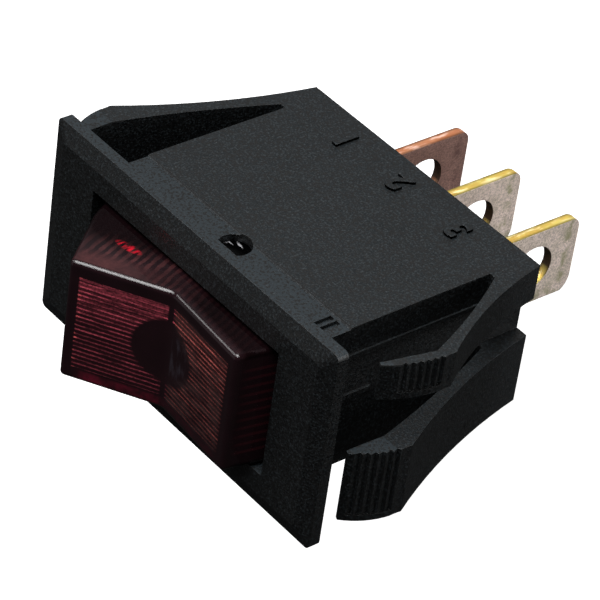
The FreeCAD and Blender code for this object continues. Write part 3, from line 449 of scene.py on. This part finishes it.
def rocker_acetal():
    """Black acetal, with painted shade that makes the pivot pins' ends all but black, and a painted highlight along
    the scratches there.
    """
    finish = Finish("black_acetal")
    grain = finish.noise(0.6 * MM, 2.0)
    shade = finish.blend(grain, tuple(looks().acetal_colour), ACETAL_MOTTLE)
    pin_end = finish.band(finish.size_of(finish.axis(finish.place, "Y")), *PIN_END)
    scratch_highlight = finish.band(finish.noise(0.7 * MM, 2.0, 0.6, (0.5, 1.0, 2.0)), 0.60, 0.66)
    # Painted shade on the pins' ends in their holes, with the gloss taken off, and a painted highlight on the
    # scratched end
    shade = finish.blend(pin_end, shade, PIN_END_SHADE)
    finish.feed("Base Color", finish.blend(finish.all_of(pin_end, scratch_highlight), shade, SCRATCH_HIGHLIGHT_GREY))
    finish.feed("Metallic", finish.all_of(pin_end, finish.minus(1.0, scratch_highlight)))
    finish.feed("Roughness", finish.band(grain, 0.3, 0.7, 0.26, 0.44))
    finish.relief(grain, 0.008 * MM, 0.1 * MM)
    return finish


class LensFinish(Finish):
    """Smoked red lens whose inner ribs show through its facets, ends and sides.

    Its places are along, across and up in the rocker's own axes, reach and width either way from the middle,
    and depth below the facets."""

    def __init__(self):
        super().__init__("smoked_red_lens")
        self.along, self.across, self.up = self.rocker_axes()
        self.reach = self.size_of(self.along)
        self.width = self.size_of(self.across)
        surface = self.plus(self.all_of(self.reach, FACET_SLOPE), VALLEY_HEIGHT)
        self.depth = self.minus(surface, self.up)
        self.on_facets = self.fade(self.depth, 0.3 * MM, 0.6 * MM)
        self.on_side_walls = self.band(self.width, 4.35 * MM, 4.6 * MM)
        self.near_half = self.fade(self.along, -0.5 * MM, -0.3 * MM)

        colour = self.blend(self.noise(3 * MM, 2.0), SMOKE_LIGHT, SMOKE_DARK)
        colour = self.blend(self.side_ribs(), colour, SIDE_RIB_BROWN)
        colour = self.blend(self.painted_glow(), colour, PAINTED_GLOW_RED)
        colour = self.blend(self.end_ribs(), colour, END_RIB_RED)
        colour = self.blend(self.plain_border(), colour, BORDER_RED)
        colour = self.blend(self.boss_sheen(), colour, BOSS_GREY)
        colour = self.blend(self.near_haze(), colour, HAZE_BROWN)
        lines = self.blend(self.near_half, tuple(looks().lens_colour), NEAR_LINE_RED)
        line = self.facet_lines()
        colour = self.blend(self.facet_ribs(line), colour, lines)
        self.feed("Base Color", self.blend(self.glints(line), colour, GLINT_RED))
        self.feed("Metallic", self.side_shade())
        self.feed("Roughness", self.band(self.noise(0.7 * MM), 0.3, 0.7, 0.03, 0.12))
        self.set(IOR=1.49, Transmission_Weight=0.22)
        self.relief(self.noise(1.4 * MM, 2.0), 0.006 * MM, 0.19 * MM)

    def rocker_axes(self):
        """Object coordinates turned into the rocker's own axes, with its pivot at the origin."""
        mapping = self.node("ShaderNodeMapping")
        mapping.inputs["Rotation"].default_value = (0, REST_TILT, 0)
        mapping.inputs["Location"].default_value = Matrix.Rotation(REST_TILT, 3, "Y") @ -PIVOT
        self.link(self.place, mapping.inputs["Vector"])
        parts = self.node("ShaderNodeSeparateXYZ")
        self.link(mapping.outputs["Vector"], parts.inputs["Vector"])
        return parts.outputs["X"], parts.outputs["Y"], parts.outputs["Z"]

    def side_ribs(self):
        """Slanted ribs on the brownish side walls, with painted shade that darkens them towards the bezel and the
        near end.
        """
        wall = self.all_of(self.on_side_walls, self.band(self.depth, 0.25 * MM, 0.5 * MM),
                           self.band(self.reach, CREST_REACH, CREST_REACH + 0.3 * MM, 1.0, 0.35))
        wander = self.band(self.noise(1.5 * MM, 2.0), 0.3, 0.7, -0.10 * MM, 0.10 * MM)
        place = self.plus(self.plus(self.along, self.all_of(self.depth, SIDE_RIB_LEAN)), wander)
        ribs = self.band(self.wave(place, SIDE_RIB_PITCH), 0.40, 0.66)
        plain = self.all_of(self.fade(self.depth, 1.2 * MM, 2.2 * MM), self.band(self.along, 1.0 * MM, 3.5 * MM))
        # Painted shade: the ribs fade towards the near end, and low down towards the bezel
        far = self.band(self.along, -3.0 * MM, 5.0 * MM, 0.22, 1.0)
        patch = self.band(self.noise(0.9 * MM, 3.0, 0.7), 0.35, 0.65, 0.5, 1.1)
        low = self.band(self.depth, 3.0 * MM, 4.6 * MM, 1.0, 0.08)
        return self.all_of(wall, self.larger(ribs, plain), far, patch, low)

    def side_shade(self):
        """Where the side walls mirror less, at the near end and low down."""
        near_end = self.band(self.along, -2.0 * MM, 3.5 * MM, 0.75, 0.0)
        low = self.band(self.depth, 2.2 * MM, 4.0 * MM, 0.0, 0.7)
        return self.all_of(self.on_side_walls, self.band(self.depth, 0.3 * MM, 0.9 * MM), self.larger(near_end, low))

    def painted_glow(self):
        """A painted red glow on the side walls, standing in for the light that the ribs gather inside."""
        aside = self.maths("DIVIDE", self.minus(self.along, GLOW_ALONG), GLOW_HALF_LENGTH)
        above = self.maths("DIVIDE", self.minus(self.up, GLOW_UP), GLOW_HALF_HEIGHT)
        away = self.plus(self.square(aside), self.square(above))
        broken = self.band(self.noise(0.6 * MM, 2.0, 0.7, (1.6, 1.0, 0.4)), 0.42, 0.56)
        return self.all_of(self.fade(away, 0.0, 1.0), broken, self.on_side_walls)

    def end_ribs(self):
        """Faint lines of the ribs inside the sloped ends."""
        end = self.band(self.reach, CREST_REACH + 0.2 * MM, CREST_REACH + 0.5 * MM)
        line = self.band(self.wave(self.across, WALL_RIB_PITCH), 0.55, 0.95)
        low = self.band(self.up, 3.0 * MM, 8.0 * MM, 1.0, 0.45)
        inside = self.fade(self.width, 3.6 * MM, 3.8 * MM)
        return self.all_of(end, line, low, inside, 0.55)

    def plain_border(self):
        """The deep red strip between the far facet's ribs and its edge."""
        strip = self.band(self.across, 3.85 * MM, 4.05 * MM)
        cloud = self.band(self.noise(1.1 * MM, 2.0), 0.4, 0.65, 0.2, 1.0)
        far_only = self.band(self.along, -0.4 * MM, 0.6 * MM, 0.12, 1.0)
        return self.all_of(strip, cloud, far_only, self.fade(self.reach, 5.4 * MM, 6.4 * MM))

    def boss_sheen(self):
        """A broken grey sheen on the boss where it shows through the near facet."""
        past_rim = self.band(self.along, -2.3 * MM, -1.9 * MM)
        middle = self.fade(self.width, 1.2 * MM, 1.9 * MM)
        broken = self.band(self.noise(1.1 * MM, 3.0, 0.6, (2.0, 0.6, 1.0)), 0.50, 0.66)
        return self.all_of(past_rim, self.near_half, middle, self.on_facets, broken)

    def near_haze(self):
        """The brownish cloudiness between the ribs of the near facet."""
        facet = self.all_of(self.band(self.along, -RIBBED_OUTER, -RIBBED_OUTER + 0.3 * MM), self.near_half,
                            self.fade(self.width, RIBBED_HALF_WIDTH, RIBBED_HALF_WIDTH + 0.3 * MM), self.on_facets)
        broken = self.band(self.noise(1.0 * MM, 3.0, 0.7, (0.6, 2.0, 1.0)), 0.40, 0.62, 0.0, 0.7)
        off_boss = self.band(self.minus(self.plus(self.width, self.reach), BOSS_RADIUS), 0.0, 1.2 * MM)
        return self.all_of(facet, broken, off_boss)

    def facet_lines(self):
        """The lines of the ribs, wider on the far facet."""
        narrow = self.wave(self.across, RIB_PITCH, RIB_PITCH / 2)
        return self.band(narrow, self.band(self.along, -0.1 * MM, 0.1 * MM, 0.50, 0.60), 0.98)

    def facet_ribs(self, line):
        """The lines of the ribs under both facets, unevenly lit and broken."""
        inside = self.all_of(
            self.band(self.reach, RIBBED_INNER - 0.1 * MM, RIBBED_INNER),
            self.fade(self.reach, RIBBED_OUTER, RIBBED_OUTER + 0.1 * MM),
            self.fade(self.width, RIBBED_HALF_WIDTH, RIBBED_HALF_WIDTH + 0.08 * MM),
            self.on_facets)
        from_boss = self.radius(self.along, self.across)
        clear = self.band(from_boss, BOSS_RADIUS - 0.15 * MM, BOSS_RADIUS + 0.1 * MM)
        glow = self.all_of(self.band(self.across, -RIBBED_HALF_WIDTH, -0.6 * MM, 0.34, 0.05),
                           self.band(self.along, -0.1 * MM, 0.1 * MM, 0.3, 1.0))
        streak = self.band(self.noise(0.7 * MM, 3.0, 0.8, (0.35, 3.2, 0.35)), 0.38, 0.62, 0.14, 1.06)
        uneven = self.band(self.noise(0.4 * MM, 1.0, 0.5, (0.03, 1.0, 0.03)), 0.35, 0.65, 0.5, 1.15)
        speckle = self.band(self.noise(0.16 * MM, 1.0), 0.36, 0.62, 0.55, 1.2)
        side_light = self.band(self.across, -RIBBED_HALF_WIDTH, 1.0 * MM, 1.25, 0.45)
        end_light = self.band(self.along, -0.8 * MM, 0.8 * MM, 0.7, 1.0)
        return self.all_of(inside, clear, self.larger(line, glow), streak, uneven, speckle, side_light, end_light)

    def glints(self, line):
        """Sparks at the far ends of the far facet's ribs."""
        rib_ends = self.near(self.reach, RIBBED_OUTER - 0.05 * MM, 0.05 * MM, 0.16 * MM)
        far = self.band(self.along, 0.0, 0.5 * MM)
        spark = self.band(self.noise(0.7 * MM, 1.0), 0.45, 0.62)
        ribbed = self.fade(self.width, RIBBED_HALF_WIDTH, RIBBED_HALF_WIDTH + 0.1 * MM)
        return self.all_of(rib_ends, far, line, self.on_facets, spark, ribbed)


def plated_blade(name, middle, plate, edge, stain_and_shade):
    """Rolled strip round a plane at x = middle: dull plate on its two faces, sheared bare metal on its edges."""
    finish = Finish(name)
    bare = finish.maths("LESS_THAN", finish.facing("X"), 0.5)
    across = finish.axis(finish.place, "Y")
    height = finish.axis(finish.place, "Z")
    speckle = finish.band(finish.noise(0.16 * MM, 3.0, 0.8), 0.38, 0.60)
    cloud = finish.band(finish.noise(1.1 * MM, 4.0, 0.7), 0.43, 0.58)
    # Painted shade along the start of the thinned tip, and stains towards the low side, both in one darker colour
    tip_bevel_shade = finish.near(height, BLADE_TIP + 1.1 * MM, 0.1 * MM, 0.7 * MM)
    low_side = finish.band(across, 1.6 * MM, 3.0 * MM, 0.25, 1.0)
    faces = finish.blend(speckle, scaled(plate, 0.55), scaled(plate, 1.12))
    faces = finish.blend(finish.all_of(cloud, finish.larger(tip_bevel_shade, low_side), 0.85), faces, stain_and_shade)

    streak = finish.band(finish.noise(0.9 * MM, 3.0, 0.7, (1.8, 1.0, 0.35)), 0.38, 0.62)
    edges = finish.blend(streak, scaled(edge, (0.85, 0.66, 0.55)), tuple(edge))
    # Painted highlights: paler streaks along the bare edges, with less metal in them
    shine = finish.band(finish.noise(0.6 * MM, 3.0, 0.6, (1.6, 1.0, 0.3)), 0.50, 0.62)
    edges = finish.blend(shine, edges, paler(edge, 0.3))
    aside = finish.size_of(finish.minus(finish.axis(finish.place, "X"), middle))
    # Painted shade: a dark line along both borders of each bare edge, where it rounds over
    edge_rim_shade = finish.band(aside, BLADE_HALF_THICKNESS - 0.26 * MM, BLADE_HALF_THICKNESS - 0.04 * MM, 0.0, 0.85)
    edges = finish.blend(edge_rim_shade, edges, scaled(edge, 0.22))
    in_shade = finish.all_of(hole_wall(finish, across, height), finish.fade(across, 0.5 * MM, 1.3 * MM))
    edges = finish.blend(in_shade, edges, HOLE_SHADE)
    root = finish.band(height, BODY_BOTTOM - 1.5 * MM, BODY_BOTTOM - 0.9 * MM)
    edges = finish.blend(root, edges, tuple(looks().brass_colour))

    finish.feed("Base Color", finish.blend(bare, faces, edges))
    finish.feed("Roughness", finish.band(speckle, 0.0, 1.0, 0.5, 0.36))
    bright_metal = finish.minus(bare, finish.larger(in_shade, finish.all_of(shine, 0.45)))
    finish.feed("Metallic", finish.band(bright_metal, 0.0, 1.0, 0.2, 0.75))
    finish.relief(finish.noise(0.15 * MM, 2.0), 0.006 * MM, 0.08 * MM)
    return finish


def hole_wall(finish, across, height):
    """The wall of the round hole through a blade."""
    radius = finish.radius(across, finish.minus(height, TAB_HOLE_Z))
    return finish.fade(radius, TAB_HOLE_RADIUS + 0.05 * MM, TAB_HOLE_RADIUS + 0.1 * MM)


def plain_metal(name, colour, rough, grain):
    """Drawn or rolled metal with a fine grain along Z."""
    finish = Finish(name)
    drawn = finish.noise(grain, 3.0, 0.6, (1.0, 1.0, 0.2))
    finish.feed("Base Color", finish.blend(drawn, scaled(colour, 0.7), colour))
    finish.feed("Roughness", finish.band(drawn, 0.3, 0.7, rough * 0.75, rough * 1.25))
    finish.set(Metallic=1.0)
    finish.relief(drawn, 0.004 * MM, 0.05 * MM)
    return finish


def white_acetal():
    finish = Finish("white_acetal")
    mottle = finish.noise(0.8 * MM, 2.0)
    finish.feed("Base Color", finish.blend(mottle, (0.62, 0.61, 0.56, 1), (0.78, 0.77, 0.72, 1)))
    finish.feed("Roughness", finish.band(mottle, 0.3, 0.7, 0.3, 0.45))
    return finish


def lamp_glass():
    finish = Finish("lamp_glass")
    haze = finish.noise(1.2 * MM, 2.0)
    finish.feed("Base Color", finish.blend(haze, (0.92, 0.93, 0.93, 1), (0.82, 0.84, 0.84, 1)))
    finish.feed("Roughness", finish.band(haze, 0.3, 0.7, 0.0, 0.08))
    finish.set(IOR=1.5, Transmission_Weight=1.0)
    return finish


def resistor_lacquer():
    """Tan lacquer with painted rings along the resistor's length."""
    finish = Finish("resistor_lacquer")
    along = finish.axis(finish.place, "Y")
    lacquer = finish.blend(finish.noise(0.6 * MM, 2.0), (0.46, 0.36, 0.22, 1), (0.58, 0.46, 0.29, 1))
    for place, colour in RESISTOR_RINGS:
        away = finish.size_of(finish.minus(along, place))
        lacquer = finish.blend(finish.maths("LESS_THAN", away, RING_HALF_WIDTH), lacquer, colour)
    finish.feed("Base Color", lacquer)
    finish.feed("Roughness", finish.band(finish.noise(1.0 * MM), 0.3, 0.7, 0.25, 0.4))
    return finish


class SWITCH_OT_housing(bpy.types.Operator):
    """Gives the housing its grained black nylon"""
    bl_idname = "switch.housing"
    bl_label = "Finish housing"

    def execute(self, context):
        dress("housing", moulded_nylon("black_moulded_nylon", 0.85, 0.0))
        return {"FINISHED"}


class SWITCH_OT_rocker(bpy.types.Operator):
    """Gives the rocker its smoked lens, black frame and white plunger"""
    bl_idname = "switch.rocker"
    bl_label = "Finish rocker"

    def execute(self, context):
        dress("rocker_lens", LensFinish())
        dress("rocker_carrier", rocker_acetal())
        dress("plunger", white_acetal())
        return {"FINISHED"}


class SWITCH_OT_terminals(bpy.types.Operator):
    """Gives the three blades their plate and bare edges"""
    bl_idname = "switch.terminals"
    bl_label = "Finish terminals"

    def execute(self, context):
        for node in ("common_terminal", "load_terminal"):
            dress(node, plated_blade("tinned_" + node, BLADE_MIDDLES[node], looks().tin_colour,
                                     looks().brass_colour, TIN_STAIN_AND_SHADE))
        dress("lamp_terminal", plated_blade("copper_plate", BLADE_MIDDLES["lamp_terminal"], looks().copper_colour,
                                            COPPER_EDGE, COPPER_STAIN_AND_SHADE))
        return {"FINISHED"}


class SWITCH_OT_contacts(bpy.types.Operator):
    """Gives the seesaw and the contact rivets their metals"""
    bl_idname = "switch.contacts"
    bl_label = "Finish contacts"

    def execute(self, context):
        dress("moving_contact", plain_metal("rolled_copper", ROLLED_COPPER, 0.3, 0.8 * MM))
        silver = plain_metal("contact_silver", CONTACT_SILVER, 0.35, 0.3 * MM)
        dress("moving_contact_rivet", silver)
        dress("fixed_contact_rivet", silver)
        return {"FINISHED"}


class SWITCH_OT_lamp(bpy.types.Operator):
    """Gives the neon lamp, its resistor, wires and eyelets their finishes"""
    bl_idname = "switch.lamp"
    bl_label = "Finish lamp circuit"

    def execute(self, context):
        nickel = plain_metal("nickel_wire", NICKEL, 0.35, 0.4 * MM)
        tinned = plain_metal("tinned_wire", TINNED_WIRE, 0.3, 0.4 * MM)
        brass = plain_metal("eyelet_brass", EYELET_BRASS, 0.3, 0.5 * MM)
        for nodes, finish in ((("neon_bulb",), lamp_glass()), (("ballast_resistor",), resistor_lacquer()),
                              (("neon_electrode_far", "neon_electrode_near"), nickel),
                              (("resistor_lead_in", "resistor_lead_out"), tinned),
                              (("lamp_eyelet_far", "lamp_eyelet_near"), brass)):
            for node in nodes:
                dress(node, finish)
        return {"FINISHED"}


class SWITCH_OT_springs(bpy.types.Operator):
    """Gives each coil spring its wire finish and puts a copy of its mesh in the scene in place of the CAD node"""
    bl_idname = "switch.springs"
    bl_label = "Fit springs"

    def execute(self, context):
        wire = plain_metal("spring_wire", SPRING_WIRE, 0.3, 0.5 * MM)
        for node, held, moved, lean in SPRINGS:
            dress(node, wire)
            piece = frame["nodes"][node].copy()
            piece.data = piece.data.copy()
            piece.name = node + "_coil"
            bpy.context.scene.collection.objects.link(piece)
            piece.parent = None
            piece.matrix_world = frame["nodes"][node].matrix_world
            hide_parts(node)
            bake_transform(piece)
        return {"FINISHED"}


class SWITCH_OT_numbers(bpy.types.Operator):
    """Moulds a plain number on the wide side beside each terminal"""
    bl_idname = "switch.numbers"
    bl_label = "Mould terminal numbers"

    def execute(self, context):
        # The numbers' sides get full painted shade, in black
        finish = moulded_nylon("number_nylon", 1.0, 1.0)
        for number, blade in NUMBERS:
            bpy.ops.object.select_all(action="DESELECT")
            bpy.ops.object.text_add(location=(0, 0, 0))
            piece = bpy.context.object
            piece.data.body = number
            piece.data.size = looks().number_height * FONT_SIZE_TO_HEIGHT
            piece.data.offset = NUMBER_BOLDNESS
            piece.data.extrude = NUMBER_HALF_DEPTH
            piece.data.align_x = "CENTER"
            piece.data.align_y = "CENTER"
            bpy.ops.object.convert(target="MESH")
            piece.name = "terminal_number_" + number
            place = (BLADE_MIDDLES[blade], WIDE_SIDE_Y - NUMBER_OFFSET, BODY_BOTTOM + NUMBER_RISE)
            upright = Matrix.Rotation(math.radians(90), 4, "X")
            piece.data.transform(Matrix.Translation(place) @ upright)
            piece.data.materials.append(finish.material)
            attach(piece, "housing")
        return {"FINISHED"}


class SWITCH_OT_stage(bpy.types.Operator):
    """Sets the pale floor, the soft lights and the camera"""
    bl_idname = "switch.stage"
    bl_label = "Set stage"

    def execute(self, context):
        self.add_floor()
        for name, place, size, power in SOFTBOXES:
            self.add_light(name, place, size, getattr(looks(), power))
        self.add_camera()
        scene = context.scene
        scene.world = bpy.data.worlds.new("studio")
        scene.world.use_nodes = True
        background = scene.world.node_tree.nodes["Background"]
        background.inputs["Color"].default_value = (1, 1, 1, 1)
        background.inputs["Strength"].default_value = WORLD_STRENGTH
        scene.view_settings.view_transform = "Standard"
        return {"FINISHED"}

    def add_floor(self):
        """A pale floor just under the tabs, which neither lights the switch nor shows in it."""
        bpy.ops.object.select_all(action="DESELECT")
        bpy.ops.mesh.primitive_plane_add(size=FLOOR_SIZE, location=(0, 0, 0))
        floor = bpy.context.object
        floor.name = "studio_floor"
        floor.data.transform(Matrix.Translation((0, 0, CAD_BOX[0][2] - FLOOR_GAP)))
        paint = Finish("floor_paint")
        mottle = paint.noise(0.4, 2.0)
        paint.feed("Base Color", paint.blend(mottle, (0.88, 0.88, 0.88, 1), (0.92, 0.92, 0.92, 1)))
        paint.set(Roughness=0.9, Emission_Color=(1, 1, 1, 1), Emission_Strength=FLOOR_GLOW)
        floor.data.materials.append(paint.material)
        floor.visible_glossy = False
        floor.visible_diffuse = False
        floor.visible_transmission = False
        floor.visible_shadow = False

    def add_light(self, name, place, size, power):
        """A rectangular softbox that faces the switch, with its long side level."""
        data = bpy.data.lights.new(name, "AREA")
        data.shape = "RECTANGLE"
        data.size, data.size_y = size
        data.energy = power
        light = bpy.data.objects.new(name, data)
        bpy.context.scene.collection.objects.link(light)
        light.location = place
        light.rotation_euler = (-Vector(place)).to_track_quat("-Z", "Y").to_euler()
        light.visible_camera = False

    def add_camera(self):
        """The photo's viewpoint, with its roll."""
        data = bpy.data.cameras.new("photo_camera")
        data.sensor_width = CAMERA_SENSOR
        data.lens = CAMERA_LENS
        data.clip_start = CAMERA_CLIP
        camera = bpy.data.objects.new("photo_camera", data)
        bpy.context.scene.collection.objects.link(camera)
        forward = Vector(CAMERA_FORWARD).normalized()
        right = Vector(CAMERA_RIGHT)
        right = (right - forward * right.dot(forward)).normalized()
        up = right.cross(forward)
        turn = Matrix((right, up, -forward)).transposed().to_4x4()
        camera.matrix_world = Matrix.Translation(CAMERA_PLACE) @ turn
        bpy.context.scene.camera = camera


class SWITCH_PT_panel(bpy.types.Panel):
    """Lists the steps and the sizes and colours they use"""
    bl_idname = "SWITCH_PT_panel"
    bl_label = "Rocker Switch"
    bl_space_type = "VIEW_3D"
    bl_region_type = "UI"
    bl_category = "Rocker Switch"

    def draw(self, context):
        for step in STEPS:
            self.layout.operator(step.bl_idname)
        for name in RockerSwitchLooks.__annotations__:
            self.layout.prop(looks(), name)


STEPS = (SWITCH_OT_housing, SWITCH_OT_rocker, SWITCH_OT_terminals, SWITCH_OT_contacts, SWITCH_OT_lamp,
         SWITCH_OT_springs, SWITCH_OT_numbers, SWITCH_OT_stage)
CLASSES = (RockerSwitchLooks,) + STEPS + (SWITCH_PT_panel,)


def register():
    for cls in CLASSES:
        bpy.utils.register_class(cls)
    bpy.types.Scene.rocker_switch_looks = PointerProperty(type=RockerSwitchLooks)


def unregister():
    del bpy.types.Scene.rocker_switch_looks
    for cls in reversed(CLASSES):
        bpy.utils.unregister_class(cls)


def main():
    register()
    for step in STEPS:
        family, name = step.bl_idname.split(".")
        getattr(getattr(bpy.ops, family), name)()


if __name__ == "__main__":
    main()
